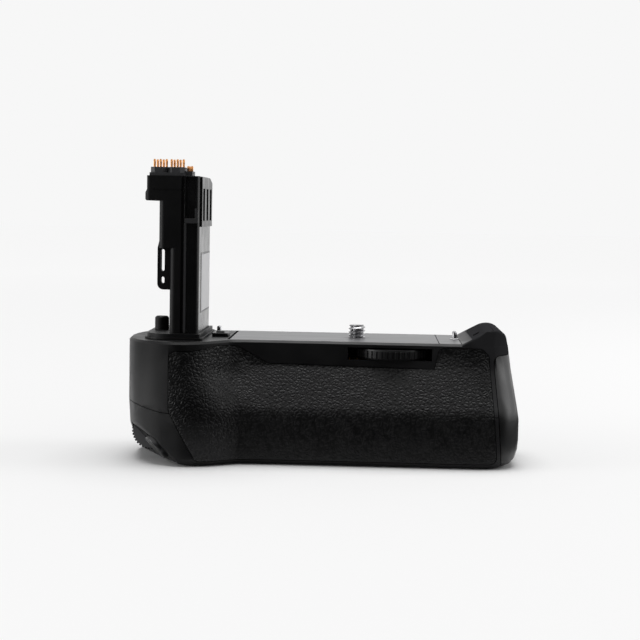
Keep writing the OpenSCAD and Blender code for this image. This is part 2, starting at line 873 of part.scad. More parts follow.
// Plan of the post with the left face at a given X
module post_plan(left) {
    round_rect([left, -post_front], [-post_right_x, post_rear], post_round);
}

// The post without its parting line: column, wide upper part, and a head with a lip round its foot
module post_form() {
    neck = -post_left_x + post_round;
    waist = upper_left + post_round;
    lip_h = 2.7;
    lip_slope = 1.4;
    lip_round = 1;
    linear_extrude(post_h) post_plan(-post_left_x);
    intersection() {
        linear_extrude(post_h) post_plan(upper_left);
        box([-far, -far, upper_z], [neck, far, post_h]);
    }
    intersection() {
        linear_extrude(post_h) post_plan(head_left);
        through_y(-far / 2, far / 2) offset(r = lip_round) offset(delta = -lip_round) polygon([
            [waist, head_z], [head_left, head_z], [head_left, head_z + lip_h],
            [head_left + head_lip, head_z + lip_h + lip_slope], [head_left + head_lip, 2 * post_h],
            [waist, 2 * post_h]
        ]);
    }
}

module post_left() {
    groove = 0.9;
    brow_base = head_z + 4.2;
    brow_proud = 0.4;
    edge = post_split - seam_gap;
    color("#2a2a2c")
    difference() {
        union() {
            post_form();
            // Brow across the front of the head
            box([head_left + head_lip + post_round, -post_front - brow_proud, brow_base],
                [post_split, -post_front + post_wall / 2, post_h]);
        }
        post_channel();
        box([edge, -far, -1], [far, far, far]);
        box([edge - groove, -far, -1], [far, -post_front + groove, far]);
    }
}

module post_right() {
    panel_depth = 1;
    panel_rim = 0.5;
    rib_w = 1.5;
    ledge_base = panel_z - 1.7;
    ledge_proud = 0.8;
    ledge_end = 0.4;
    ledge_rise = 3.6;
    ridge_w = 0.8;
    ridge_proud = 0.3;
    color("#232325")
    difference() {
        union() {
            intersection() {
                post_form();
                box([post_split, -far, 0], [far, far, far]);
            }
            // Ledge under the head panel with its upturned end, and the ridge beside the parting line
            box([post_split + ridge_w / 2, -post_front - ledge_proud, ledge_base],
                [-post_right_x - ledge_end, -post_front + post_wall / 2, panel_z]);
            box([-post_right_x - rib_w, -post_front - ledge_proud, ledge_base],
                [-post_right_x - ledge_end, -post_front + post_wall / 2, panel_z + ledge_rise]);
            box([post_split, -post_front - ridge_proud, collar_h + seam_gap],
                [post_split + ridge_w, -post_front + post_wall / 2, ledge_base]);
        }
        post_channel();
        box([post_split + panel_rim, -far, panel_z],
            [-post_right_x - rib_w, -post_front + panel_depth, post_h - panel_rim]);
        above_head(0);
    }
}

// Collar seen from above: round at the left end, nearly square at the right
module collar_plan(grow) {
    side = 2;
    right_side = 1.2;
    big_r = 9 + grow;
    small_r = side / 2 + grow;
    low = [head_left + 0.6 - grow, -post_front - 3 - grow];
    high = [-post_right_x + right_side + grow, post_rear + side + grow];
    for (y = [low[1] + big_r, high[1] - big_r]) translate([low[0] + big_r, y]) circle(big_r);
    for (y = [low[1] + small_r, high[1] - small_r]) translate([high[0] - small_r, y]) circle(small_r);
    translate([low[0], low[1] + big_r]) square([big_r, high[1] - low[1] - 2 * big_r]);
    translate([low[0] + big_r, low[1]]) square([high[0] - small_r - low[0] - big_r, high[1] - low[1]]);
    translate([high[0] - small_r, low[1] + small_r]) square([small_r, high[1] - low[1] - 2 * small_r]);
}

module post_collar() {
    flange = 0.8;
    stub_top = collar_h + stub_h;
    stub_bevel = 0.6;
    color("#2e2e30")
    difference() {
        union() {
            linear_extrude(collar_h) collar_plan(0);
            linear_extrude(flange) collar_plan(flange);
            rod(stub_at, stub_r, 0, stub_top - stub_bevel);
            translate([stub_at[0], stub_at[1], stub_top - stub_bevel])
                cylinder(r1 = stub_r, r2 = stub_r - stub_bevel, h = stub_bevel);
        }
        translate([0, 0, -1]) linear_extrude(collar_h + 2) offset(hub_gap) post_plan(-post_left_x);
    }
}

// Loop on the left of the post that holds the camera's battery cover, flowing out of the wide upper part
module cover_loop() {
    left = -post_left_x - loop_w;
    base = upper_z - loop_h;
    corner = 2.2;
    flow = 2.7;
    bar = 1.1;
    slot_w = 1.5;
    slot_round = 0.7;
    long_slot = 0.53 * loop_h;
    short_slot = 0.165 * loop_h;
    long_top = upper_z - 0.4;
    short_base = base + 2.2;
    depth = [-post_front + post_round, -post_front + post_round + 4];
    color("#2a2a2c")
    through_y(depth[0], depth[1]) difference() {
        union() {
            intersection() {
                round_rect([left, base], [2 * corner - post_left_x, upper_z + 2 * corner], corner);
                translate([left, base]) square([loop_w, loop_h]);
            }
            polygon([[left, upper_z], [upper_left, upper_z], [upper_left, upper_z + flow]]);
        }
        round_rect([left + bar, long_top - long_slot], [left + bar + slot_w, long_top], slot_round);
        round_rect([left + bar, short_base], [left + bar + slot_w, short_base + short_slot], slot_round);
    }
}

// Slotted terminal module on the right of the post head
module terminal_module() {
    t = 0.8;
    base = 40.6;
    top_gap = 0.2;
    frame = 2.2;
    slots = 3;
    slot_w = 5.6;
    edge = 2.2;
    front = -post_front + edge;
    rear = post_rear - edge;
    pitch = (rear - front) / slots;
    color("#202021")
    difference() {
        box([-post_right_x, front, base], [-post_right_x + t, rear, post_h - top_gap]);
        above_head(top_gap);
        for (i = [0:slots - 1])
            box([-post_right_x - 1, front + (i + 0.5) * pitch - slot_w / 2, base + frame],
                [far, front + (i + 0.5) * pitch + slot_w / 2, post_h - 2 * frame]);
    }
}

// Tower of the contact block seen from above, with cut corners
module tower_plan(left, right) {
    cut = 1.6;
    front = block_y[0];
    rear = block_y[1];
    polygon([
        [left, front + cut], [left + cut, front], [right - cut, front], [right, front + cut],
        [right, rear - cut], [right - cut, rear], [left + cut, rear], [left, rear - cut]
    ]);
}

module contact_block() {
    rim = 0.2;
    step_y = [block_y[0] + 2, block_y[1] - 2];
    color("#3c3c40")
    difference() {
        union() {
            box([tower_left[0] - rim, block_y[0] - rim, post_h],
                [tower_right[1] + rim, block_y[1] + rim, post_h + flange_h]);
            for (i = [0, 1])
                translate([0, 0, post_h]) linear_extrude(block_h) tower_plan(tower_left[i], tower_right[i]);
            box([tower_right[1], step_y[0], post_h], [step_right, step_y[1], step_top]);
        }
        for (p = pin_places) rod(p, pin_r + run_gap, post_h - 1, far);
    }
}

module contact_pins() {
    tip = 0.2;
    color("#b08a4a")
    for (p = pin_places) {
        rod(p, pin_r, pin_base, p[3] - tip);
        translate([p[0], p[1], p[3] - tip]) cylinder(r1 = pin_r, r2 = pin_r - 0.15, h = tip);
    }
}

// Deck fittings

module locating_pins() {
    tip = 0.5;
    color("#8a8a8c")
    for (p = locating_at) {
        rod(p, locating_r, -locating_sink, locating_h - tip);
        translate([p[0], p[1], locating_h - tip]) cylinder(r1 = locating_r, r2 = locating_r - 0.4, h = tip);
    }
}

module switch_block() {
    height = 1.4;
    color("#141415")
    linear_extrude(height) round_rect([-post_right_x + 3.4, -10], [plate_left - 1.4, -2], 1);
}

// Cable that joins the board to the contact block, inside the post
module post_cable() {
    t = 0.3;
    left = post_split + 1.6;
    color("#7a4a1c")
    box([left, cable_y[0], roof_high + board_t], [left + t, cable_y[1], post_h - post_wall]);
}

module main_board() {
    chip = [[plate_left + 2, -6], [plate_left + 14, 6]];
    chip_t = 1.4;
    board_top = roof_high + board_t;
    color("#1f5a36")
    difference() {
        union() {
            box([post_split - 1, -15, roof_high], [drive_low[0] - 3, 16, board_top]);
            box([chip[0][0], chip[0][1], board_top], [chip[1][0], chip[1][1], board_top + chip_t]);
        }
        for (p = frame_posts) rod(p, boss_r + button_gap, roof_high - 1, board_top + 1);
    }
}

// Attachment drive

// Spur gear seen from above, with a tooth centred on +X
module gear_plan(teeth, size) {
    r = size * teeth / 2;
    tip_r = r + 0.85 * size;
    root_r = r - 1.1 * size;
    pitch = 360 / teeth;
    tip = 0.075 * pitch;
    root = 0.3 * pitch;
    polygon([for (i = [0:teeth - 1]) each [
        root_r * [cos(i * pitch - root), sin(i * pitch - root)],
        tip_r * [cos(i * pitch - tip), sin(i * pitch - tip)],
        tip_r * [cos(i * pitch + tip), sin(i * pitch + tip)],
        root_r * [cos(i * pitch + root), sin(i * pitch + root)]
    ]]);
}

// Disc with ribs round its edge
module ribbed_plan(r, depth, ribs) {
    pitch = 360 / ribs;
    polygon([for (i = [0:ribs - 1]) each [
        (r - depth) * [cos(i * pitch), sin(i * pitch)],
        r * [cos((i + 0.15) * pitch), sin((i + 0.15) * pitch)],
        r * [cos((i + 0.6) * pitch), sin((i + 0.6) * pitch)],
        (r - depth) * [cos((i + 0.75) * pitch), sin((i + 0.75) * pitch)]
    ]]);
}

// Ribbed wheel lying flat, with plain rims above and below
module ribbed_wheel(r, t, ribs) {
    rim = 0.5;
    depth = 0.45;
    translate([0, 0, rim]) linear_extrude(t - 2 * rim) ribbed_plan(r, depth, ribs);
    cylinder(r = r - depth - 0.1, h = t);
}

module attachment_dial() {
    color("#3b3b3d")
    translate([dial_x, dial_y, 0])
    difference() {
        union() {
            translate([0, 0, dial_base]) ribbed_wheel(dial_r, dial_t, dial_ribs);
            translate([0, 0, gear_base]) rotate(mesh_angle)
                linear_extrude(gear_t) gear_plan(dial_gear_teeth, gear_module);
            rod([0, 0], hub_r, drive_plate_top + hub_gap, dial_base + sink);
        }
        rod([0, 0], dial_axle_r + run_gap, -far / 2, far / 2);
    }
}

module dial_axle() {
    color("#9a9a9c") rod(dial_at, dial_axle_r, drive_plate_base, -deck_t - hub_gap);
}

module screw_bush() {
    color("#9c9488")
    difference() {
        union() {
            rod([0, 0], bush_r, bush_base, 0);
            rod([0, 0], flange_r, -deck_t, 0);
        }
        rod([0, 0], neck_r + run_gap, bush_base - 1, 1);
    }
}

module attachment_screw() {
    tip = 0.5;
    start = 0.15;
    color("#c4c6c8") {
        rod([0, 0], screw_r, start, screw_h - tip);
        translate([0, 0, screw_h - tip]) cylinder(r1 = screw_r, r2 = screw_r - tip, h = tip);
        rod([0, 0], neck_r, neck_base, start);
    }
}

module screw_gear() {
    color("#b9a15a")
    difference() {
        union() {
            translate([0, 0, gear_base]) rotate(mesh_angle + 180 + 180 / screw_gear_teeth)
                linear_extrude(gear_t) gear_plan(screw_gear_teeth, gear_module);
            rod([0, 0], hub_r + 1, drive_plate_top + hub_gap, gear_base + sink);
        }
        rod([0, 0], neck_r, -far / 2, far / 2);
    }
}

module screw_clip() {
    base = neck_base + hub_gap;
    color("#8c8c8e")
    difference() {
        rod([0, 0], neck_r + clip_w, base, base + clip_t);
        rod([0, 0], neck_r, base - 1, base + clip_t + 1);
    }
}

module drive_plate() {
    color("#a2a3a6")
    difference() {
        translate([0, 0, drive_plate_base]) linear_extrude(drive_plate_t)
            round_rect(drive_low, drive_high, 2);
        rod([0, 0], neck_r + run_gap, -far / 2, far / 2);
        rod(dial_at, dial_axle_r, -far / 2, far / 2);
        for (p = drive_posts) rod(p, fastener_r + screw_hole_gap, -far / 2, far / 2);
    }
}

// Pan-head screw with the underside of its head at z = 0 and its shank pointing up
module pan_screw(length) {
    slot_w = 0.4;
    slot_depth = 0.35;
    difference() {
        rod([0, 0], fastener_head_r, -fastener_head_h, 0);
        box([-far, -slot_w / 2, -far], [far, slot_w / 2, -fastener_head_h + slot_depth]);
    }
    rod([0, 0], fastener_r, -slot_depth, length);
}

module drive_screws() {
    color("#b0b0b2")
    for (p = drive_posts)
        translate([p[0], p[1], drive_plate_base]) pan_screw(drive_plate_t + drive_screw_l);
}

module frame_screws() {
    color("#b0b0b2")
    for (p = frame_posts)
        translate([p[0], p[1], roof_low + fastener_head_h]) pan_screw(frame_screw_l);
}

module case_screws() {
    color("#4c4c4e")
    for (p = case_posts)
        translate([p[0], p[1], -body_h + case_screw_sink])
            pan_screw(body_h - case_screw_sink - seam_front + case_screw_l);
}

module tripod_bush() {
    color("#b4b6b8")
    difference() {
        rod([0, 0], tripod_r, -body_h, floor_low);
        rod([0, 0], screw_r, -body_h - 1, -body_h + tripod_depth);
    }
}

// Controls

// Button with a dished top and two ears that hold it in the case
module shutter_button() {
    dish_r = 60;
    dish_depth = 0.25;
    tail = -wall - 1;
    ear = 0.9;
    ear_w = 5;
    ear_t = 0.8;
    ear_turn = 35;
    color("#303032")
    at_shutter() difference() {
        union() {
            rod([0, 0], shutter_r, tail, shutter_h);
            intersection() {
                rod([0, 0], shutter_r + ear, tail, tail + ear_t);
                rotate(ear_turn) box([-far, -ear_w / 2, tail - 1], [far, ear_w / 2, far]);
            }
        }
        translate([0, 0, dish_r + shutter_h - dish_depth]) sphere(r = dish_r, $fn = 96);
    }
}

module shutter_switch() {
    board_end = switch_post + switch_post_r;
    board_w = 4.8;
    dome_r = 2.2;
    color("#1f5a36")
    at_shutter() {
        translate([0, 0, -switch_depth - board_t]) linear_extrude(board_t)
            round_rect([-board_end, -board_w / 2], [board_end, board_w / 2], 1);
        rod([0, 0], dome_r, -switch_depth - hub_gap, -wall - 1 - shutter_travel - 2 * hub_gap);
    }
}

module main_dial() {
    color("#343436")
    translate([wheel_at[0], wheel_rear, wheel_at[2]]) rotate([90, 0, 0])
    difference() {
        ribbed_wheel(wheel_r, wheel_w, wheel_teeth);
        rod([0, 0], wheel_axle_r + run_gap, -1, wheel_w + 1);
    }
}

module main_dial_axle() {
    color("#9a9a9c")
    translate([wheel_at[0], wheel_rear + wheel_reach, wheel_at[2]]) rotate([90, 0, 0])
        cylinder(r = wheel_axle_r, h = wheel_w + 2 * wheel_reach);
}

module dial_encoder() {
    half = 2.4;
    t = 2.4;
    y = wheel_rear + wheel_reach;
    color("#26262a")
    box([wheel_at[0] - half, y, wheel_at[2] - half], [wheel_at[0] + half, y + t, wheel_at[2] + half]);
}

// Rear button with a collar that stops it inside the wall
module rear_button(i) {
    collar_t = 0.8;
    top = deck_rear - 1.6;
    color("#333335")
    translate([button_x, button_tail, button_z[i]]) rotate([-90, 0, 0]) {
        cylinder(r = button_r, h = top - button_tail);
        cylinder(r = button_r + button_collar, h = collar_t);
    }
}

module focus_button() rear_button(0);

module lock_button() rear_button(1);

module point_button() rear_button(2);

module button_board() {
    half = 3;
    color("#1f5a36")
    box([button_x - half, button_board_y - button_board_t, button_z[2] - half],
        [button_x + half, button_board_y, -deck_t]);
}

module power_lever() {
    shaft_r = 1.4;
    shaft_l = 9;
    bar_w = 1.6;
    bar_h = 1;
    bar_l = lever_r - 0.4;
    color("#333335")
    translate(lever_at) rotate([-90, 0, 0]) {
        rod([0, 0], lever_r, -lever_t, 0);
        rod([0, 0], shaft_r, -shaft_l, -lever_t + sink);
        box([-bar_w / 2, -bar_l, -sink], [bar_w / 2, bar_l, bar_h]);
    }
}

// Magazine

module magazine_tray() {
    notch = 18;
    notch_base = tray_base + 0.62 * tray_h;
    contact_half = [0, contact_w / 2, contact_h / 2];
    color("#2c2c2e")
    difference() {
        box([tray_left, tray_front, tray_base], [far / 2, tray_rear, -tray_top]);
        for (i = [0, 1]) {
            right = bay_right - i * (bay_l + divider_t);
            box([right - bay_l, tray_front + tray_wall, tray_base + tray_floor],
                [right, tray_rear - tray_wall, far]);
            // Finger notches in the side walls
            box([right - bay_l / 2 - notch, -far, notch_base], [right - bay_l / 2 + notch, far, far]);
        }
        right_of_cap(0);
        for (p = contact_places)
            box(p - contact_half - [1, 0, 0], p + contact_half + [tray_wall + divider_t, 0, 0]);
        for (p = cap_screw_at) translate(p) rotate([0, 90, 0]) {
            rod([0, 0], fastener_r + screw_hole_gap, -2 * fastener_head_h, cap_screw_l);
            rod([0, 0], fastener_head_r + head_hole_gap, -2 * fastener_head_h, 0);
        }
    }
}

module magazine_contacts() {
    contact_half = [0, contact_w / 2, contact_h / 2];
    rows = len(contact_places) / 2;
    color("#c2a25a")
    for (i = [0:len(contact_places) - 1]) {
        p = contact_places[i];
        box(p - contact_half, p + contact_half + [i < rows ? tray_wall : divider_t, 0, 0]);
    }
}

module housing_contacts() {
    t = 0.2;
    half = [0, contact_w / 2 - 0.2, contact_h / 2 - 0.5];
    color("#c2a25a")
    for (i = [0:len(contact_places) / 2 - 1]) {
        p = [frame_left, contact_places[i][1], contact_places[i][2]];
        box(p - half, p + half + [t, 0, 0]);
    }
}

module cap_screws() {
    color("#4c4c4e")
    for (p = cap_screw_at) translate(p) rotate([0, 90, 0]) pan_screw(cap_screw_l);
}

module magazine_cap() {
    color("#29292b")
    difference() {
        intersection() {
            body_form(0);
            cap_space(0);
        }
        // Recess and bore of the handle
        translate([handle_at[0] - hub_gap, handle_at[1], handle_at[2]]) rotate([0, 90, 0])
            cylinder(r = handle_r + button_gap, h = far);
        translate([0, handle_at[1], handle_at[2]]) rotate([0, 90, 0])
            cylinder(r = spindle_r + run_gap, h = far);
        // Room for the pinion and the latch bolt
        box([0, handle_at[1] - pinion_r - 1, bolt_base - hub_gap],
            [bolt_x + bolt_t + hub_gap, bolt_y + bolt_w + hub_gap, far]);
        for (p = cap_screw_at)
            translate(p) rotate([0, 90, 0]) rod([0, 0], fastener_r, -fastener_head_h, cap_screw_l);
    }
}

// Round handle that lies in the cap's recess, with a grip bar across it
module release_handle() {
    color("#38383a")
    translate(handle_at) rotate([0, 90, 0])
    difference() {
        union() {
            cylinder(r = handle_r, h = handle_t);
            intersection() {
                cylinder(r = handle_r - 0.4, h = handle_t + grip_h);
                box([-far, -grip_w / 2, 0], [far, grip_w / 2, far]);
            }
        }
        rod([0, 0], spindle_r, -1, far);
    }
}

// Spindle of the handle with the pinion that lifts the bolt
module handle_spindle() {
    color("#9a9a9c")
    translate([bolt_x, handle_at[1], handle_at[2]]) rotate([0, 90, 0]) {
        linear_extrude(bolt_t) gear_plan(pinion_teeth, latch_module);
        cylinder(r = spindle_r, h = handle_at[0] + handle_t + grip_h - bolt_x);
    }
}

// Bolt with a rack beside the pinion, one tooth of the rack level with the pinion's axis at rest
module latch_bolt() {
    pitch = PI * latch_module;
    tip = 0.15 * pitch;
    root = 0.6 * pitch;
    depth = 1.95 * latch_module;
    face = bolt_y + 1.1 * latch_module;
    teeth = floor(bolt_tail / pitch - 0.5);
    color("#9a9a9c") {
        box([bolt_x, face, bolt_base], [bolt_x + bolt_t, bolt_y + bolt_w, -cap_top - seam_gap]);
        for (i = [-teeth:teeth])
            translate([bolt_x, face, handle_at[2] + i * pitch]) rotate([90, 0, 90])
                linear_extrude(bolt_t) polygon([
                    [hub_gap, -root / 2], [0, -root / 2], [-depth, -tip / 2],
                    [-depth, tip / 2], [0, root / 2], [hub_gap, root / 2]
                ]);
    }
}

upper_case();
lower_case();
inner_frame();
camera_plate();
front_rubber();
rear_rubber();
post_left();
post_right();
post_collar();
cover_loop();
terminal_module();
contact_block();
contact_pins();
locating_pins();
switch_block();
post_cable();
main_board();
drive_plate();
dial_axle();
attachment_dial();
screw_bush();
attachment_screw();
screw_gear();
screw_clip();
drive_screws();
frame_screws();
case_screws();
tripod_bush();
shutter_button();
shutter_switch();
main_dial();
main_dial_axle();
dial_encoder();
focus_button();
lock_button();
point_button();
button_board();
power_lever();
magazine_tray();
magazine_cap();
magazine_contacts();
housing_contacts();
cap_screws();
release_handle();
handle_spindle();
latch_bolt();
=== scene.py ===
"""Camera battery grip: the looks of the part, built round its CAD frame, in metres."""

import math

import bmesh
import bpy
from mathutils import Matrix, Vector


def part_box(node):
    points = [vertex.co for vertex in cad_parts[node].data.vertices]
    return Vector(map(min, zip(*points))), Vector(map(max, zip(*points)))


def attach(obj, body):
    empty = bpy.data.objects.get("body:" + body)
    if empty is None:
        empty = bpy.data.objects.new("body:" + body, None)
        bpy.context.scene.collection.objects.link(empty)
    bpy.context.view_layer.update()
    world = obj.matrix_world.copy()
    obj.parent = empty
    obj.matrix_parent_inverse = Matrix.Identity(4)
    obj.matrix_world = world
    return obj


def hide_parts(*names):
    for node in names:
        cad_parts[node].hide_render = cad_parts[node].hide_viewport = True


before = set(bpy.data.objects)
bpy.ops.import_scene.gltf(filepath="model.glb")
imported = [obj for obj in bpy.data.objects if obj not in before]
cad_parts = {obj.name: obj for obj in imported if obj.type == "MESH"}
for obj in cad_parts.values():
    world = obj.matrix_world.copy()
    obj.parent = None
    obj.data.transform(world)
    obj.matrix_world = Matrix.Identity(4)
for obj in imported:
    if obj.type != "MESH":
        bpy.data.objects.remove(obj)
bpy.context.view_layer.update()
mm = 0.001

# Upper case: the deck, the strip with the dial window and the raised right end in one shell.
# It is moulded from glass-filled plastic with a fine spark-eroded grain and carries all inner parts.


def material(name, colour, roughness, specular=0.5, metallic=0.0):
    """A plain shader with constant values; the helpers below add its detail."""
    made = bpy.data.materials.new(name)
    made.use_nodes = True
    shader = made.node_tree.nodes["Principled BSDF"]
    shader.inputs["Base Color"].default_value = (*colour, 1)
    shader.inputs["Roughness"].default_value = roughness
    shader.inputs["Specular IOR Level"].default_value = specular
    shader.inputs["Metallic"].default_value = metallic
    return made


def node(made, kind, **inputs):
    """A new shader node with constants set on its sockets."""
    new = made.node_tree.nodes.new(kind)
    for key, value in inputs.items():
        new.inputs[key.replace("_", " ")].default_value = value
    return new


def join(made, out, into):
    made.node_tree.links.new(out, into)


def noise(made, scale, detail=3.0, stretch=(1, 1, 1)):
    """Noise in the part's own coordinates, drawn out along an axis by stretch."""
    place = node(made, "ShaderNodeTexCoord")
    turn = node(made, "ShaderNodeMapping", Scale=stretch)
    cloud = node(made, "ShaderNodeTexNoise", Scale=scale, Detail=detail)
    join(made, place.outputs["Object"], turn.inputs["Vector"])
    join(made, turn.outputs["Vector"], cloud.inputs["Vector"])
    return cloud.outputs["Fac"]


def spread(made, value, low, high):
    """Maps the middle of a noise to a range of values."""
    ramp = node(made, "ShaderNodeMapRange", From_Min=0.3, From_Max=0.7, To_Min=low, To_Max=high)
    join(made, value, ramp.inputs["Value"])
    return ramp.outputs["Result"]


def tint(made, value, dark, light):
    """Runs the base colour between two shades."""
    ramp = node(made, "ShaderNodeValToRGB")
    ramp.color_ramp.elements[0].position = 0.3
    ramp.color_ramp.elements[1].position = 0.7
    ramp.color_ramp.elements[0].color = (*dark, 1)
    ramp.color_ramp.elements[1].color = (*light, 1)
    join(made, value, ramp.inputs["Fac"])
    join(made, ramp.outputs["Color"], made.node_tree.nodes["Principled BSDF"].inputs["Base Color"])


def bump(made, value, depth, strength=1.0):
    """Raises the surface by a noise."""
    lift = node(made, "ShaderNodeBump", Strength=strength, Distance=depth)
    join(made, value, lift.inputs["Height"])
    join(made, lift.outputs["Normal"], made.node_tree.nodes["Principled BSDF"].inputs["Normal"])


def rough(made, value, low, high):
    """Varies the gloss from place to place."""
    shader = made.node_tree.nodes["Principled BSDF"]
    join(made, spread(made, value, low, high), shader.inputs["Roughness"])


def moulded(name, colour, roughness, specular, grain=2600, depth=0.00002):
    """Moulded plastic with a fine grain, slightly uneven in gloss and shade."""
    made = material(name, colour, roughness, specular)
    cloud = noise(made, 90)
    rough(made, cloud, roughness - 0.06, roughness + 0.08)
    tint(made, cloud, [c * 0.9 for c in colour], [c * 1.12 for c in colour])
    bump(made, noise(made, grain, 2.0), depth, 0.6)
    return made


def axis(made, letter):
    """One of the part's own coordinates."""
    place = node(made, "ShaderNodeTexCoord")
    axes = node(made, "ShaderNodeSeparateXYZ")
    join(made, place.outputs["Object"], axes.inputs[0])
    return axes.outputs[letter]


def growth(made, value, start, end, most=1.0):
    """A share that grows from nought to its most between two values."""
    grow = node(made, "ShaderNodeMapRange", From_Min=start, From_Max=end, To_Max=most)
    join(made, value, grow.inputs["Value"])
    return grow.outputs["Result"]


def combine(made, operation, *values):
    """Joins sockets and plain numbers by arithmetic."""
    sums = node(made, "ShaderNodeMath")
    sums.operation = operation
    for socket, value in zip(sums.inputs, values):
        if isinstance(value, float):
            socket.default_value = value
        else:
            join(made, value, socket)
    return sums.outputs[0]


def blend(made, amount, colour):
    """Runs the base colour towards another one by a share."""
    base = made.node_tree.nodes["Principled BSDF"].inputs["Base Color"]
    mix = node(made, "ShaderNodeMix")
    mix.data_type = "RGBA"
    mix.inputs["B"].default_value = (*colour, 1)
    join(made, amount, mix.inputs["Factor"])
    join(made, base.links[0].from_socket, mix.inputs["A"])
    join(made, mix.outputs["Result"], base)


def copy_of(cad_node, flat=0.6):
    """The merged mesh of a CAD node, with its flat faces joined."""
    bm = bmesh.new()
    bm.from_mesh(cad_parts[cad_node].data)
    bmesh.ops.remove_doubles(bm, verts=bm.verts, dist=0.001 * mm)
    bmesh.ops.dissolve_limit(bm, angle_limit=math.radians(flat), verts=bm.verts, edges=bm.edges)
    return bm


def soften(bm, width, sharp=40, segments=2):
    """Rounds the edges at which two faces meet at more than an angle."""
    edges = [e for e in bm.edges if len(e.link_faces) == 2 and e.calc_face_angle(0) > math.radians(sharp)]
    bmesh.ops.bevel(bm, geom=edges, offset=width, offset_type="OFFSET", affect="EDGES",
                    segments=segments, profile=0.5, material=-1, clamp_overlap=True)


def piece(name, bm, look, body, slot, *cad_nodes, crease=35):
    """Makes an object of a mesh, shades it smooth up to an angle and ties it to a body."""
    bmesh.ops.recalc_face_normals(bm, faces=bm.faces)
    for face in bm.faces:
        face.smooth = True
    for edge in bm.edges:
        edge.smooth = len(edge.link_faces) == 2 and edge.calc_face_angle(0) < math.radians(crease)
    mesh = bpy.data.meshes.new(name)
    bm.to_mesh(mesh)
    bm.free()
    mesh.materials.append(look)
    made = bpy.data.objects.new(name, mesh)
    bpy.context.scene.collection.objects.link(made)
    even = made.modifiers.new("even_normals", "WEIGHTED_NORMAL")
    even.keep_sharp = True
    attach(made, body)
    if cad_nodes:
        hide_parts(*cad_nodes)
    return made


case_gloss = 0.28
case_black = moulded("case_black", (0.006, 0.006, 0.0064), 0.40, case_gloss)
case_x, case_z = axis(case_black, "X"), axis(case_black, "Z")
# Painted light: the base colour is lighter on the hump of the right end and grows lighter towards the right end,
# standing in for light falling there; the hump also loses its reflection below.
ramp_start, end_start, ramp_lean = 38.3 * mm, 8.0 * mm, 0.9
ramp_foot = ramp_lean * ramp_start
up_ramp = combine(case_black, "MULTIPLY_ADD", case_x, ramp_lean, case_z)
on_hump = growth(case_black, up_ramp, ramp_foot - 1.0 * mm, ramp_foot + 5.0 * mm)
to_end = growth(case_black, case_x, end_start, ramp_start, 0.4)
blend(case_black, combine(case_black, "MAXIMUM", on_hump, to_end), (0.034, 0.034, 0.036))
# Painted shade: the reflection is taken away on the hump and, in part, on the upper left end, which makes them
# darker as if less light reached them.
to_top = growth(case_black, case_z, -24.0 * mm, -3.0 * mm)
to_left = growth(case_black, case_x, -42.0 * mm, -62.0 * mm, 0.6)
left_top_painted_shade = combine(case_black, "MULTIPLY", to_top, to_left)
case_painted_shade = node(case_black, "ShaderNodeMapRange", To_Min=case_gloss, To_Max=0.0)
join(case_black, combine(case_black, "MAXIMUM", on_hump, left_top_painted_shade), case_painted_shade.inputs["Value"])
case_shader = case_black.node_tree.nodes["Principled BSDF"]
join(case_black, case_painted_shade.outputs["Result"], case_shader.inputs["Specular IOR Level"])


def rounded(bm, edges, width, segments):
    """Rounds a chosen set of edges."""
    bmesh.ops.bevel(bm, geom=edges, offset=width, offset_type="OFFSET", affect="EDGES",
                    segments=segments, profile=0.5, material=-1, clamp_overlap=False)


def edge_turn(edge):
    """The angle at which the two faces of an edge meet, in degrees."""
    return math.degrees(edge.calc_face_angle(0)) if len(edge.link_faces) == 2 else 0


hump_low, hump_left, hump_crest, ridge_left = 0.6 * mm, 38.6 * mm, 4.6 * mm, 47 * mm
ridge_round, rim_round, rim_depth, level = 1.7 * mm, 0.75 * mm, 7 * mm, 0.01 * mm
upper_bm = copy_of("upper_case")
crest = [v for v in upper_bm.verts if v.co.z > hump_crest]
bmesh.ops.remove_doubles(upper_bm, verts=crest, dist=0.4 * mm)
ridges = []
for edge in upper_bm.edges:
    along = edge.verts[1].co - edge.verts[0].co
    high_up = all(v.co.z > hump_low and v.co.x > ridge_left for v in edge.verts)
    if edge_turn(edge) > 20 and high_up and abs(along.x) < level and abs(along.z) < level:
        ridges.append(edge)
rounded(upper_bm, ridges, ridge_round, 5)
front_rim = min(v.co.y for v in upper_bm.verts if v.co.z > hump_low)
rim = []
for edge in upper_bm.edges:
    middle = (edge.verts[0].co + edge.verts[1].co) / 2
    on_rim = middle.z > hump_low and middle.x > hump_left and middle.y < front_rim + rim_depth
    if edge_turn(edge) > 30 and on_rim:
        tops = [face for face in edge.link_faces if face.normal.z > 0.3]
        if len(tops) == 1 and all(face.normal.y < 0.1 for face in edge.link_faces):
            rim.append(edge)
rounded(upper_bm, rim, rim_round, 3)
piece("upper_shell", upper_bm, case_black, "grip", "case_plastic", "upper_case")

# Lower case: the base and the shutter corner, a second moulding that meets the upper one
# along the S-shaped seam. Three screws through the base hold it.
corner_at = Vector((-70.4, -30.0, -38.0)) * mm
corner_way = Vector((-0.68, -0.33, -0.654)).normalized()
lower_bm = copy_of("lower_case")
corner_low, corner_right, corner_round = -41 * mm, -68 * mm, 1.3 * mm
corner_edges = []
for edge in lower_bm.edges:
    on_plane = all(abs((v.co - corner_at).dot(corner_way)) < 0.05 * mm for v in edge.verts)
    at_front = all(v.co.z > corner_low and v.co.x < corner_right for v in edge.verts)
    if len(edge.link_faces) == 2 and on_plane and at_front and edge.calc_length() > 1.5 * mm:
        lean = sorted(face.normal.dot(corner_way) for face in edge.link_faces)
        if lean[1] > 0.99 and 0.2 < lean[0] < 0.97:
            corner_edges.append(edge)
rounded(lower_bm, corner_edges, corner_round, 4)
piece("lower_shell", lower_bm, case_black, "grip", "case_plastic", "lower_case")

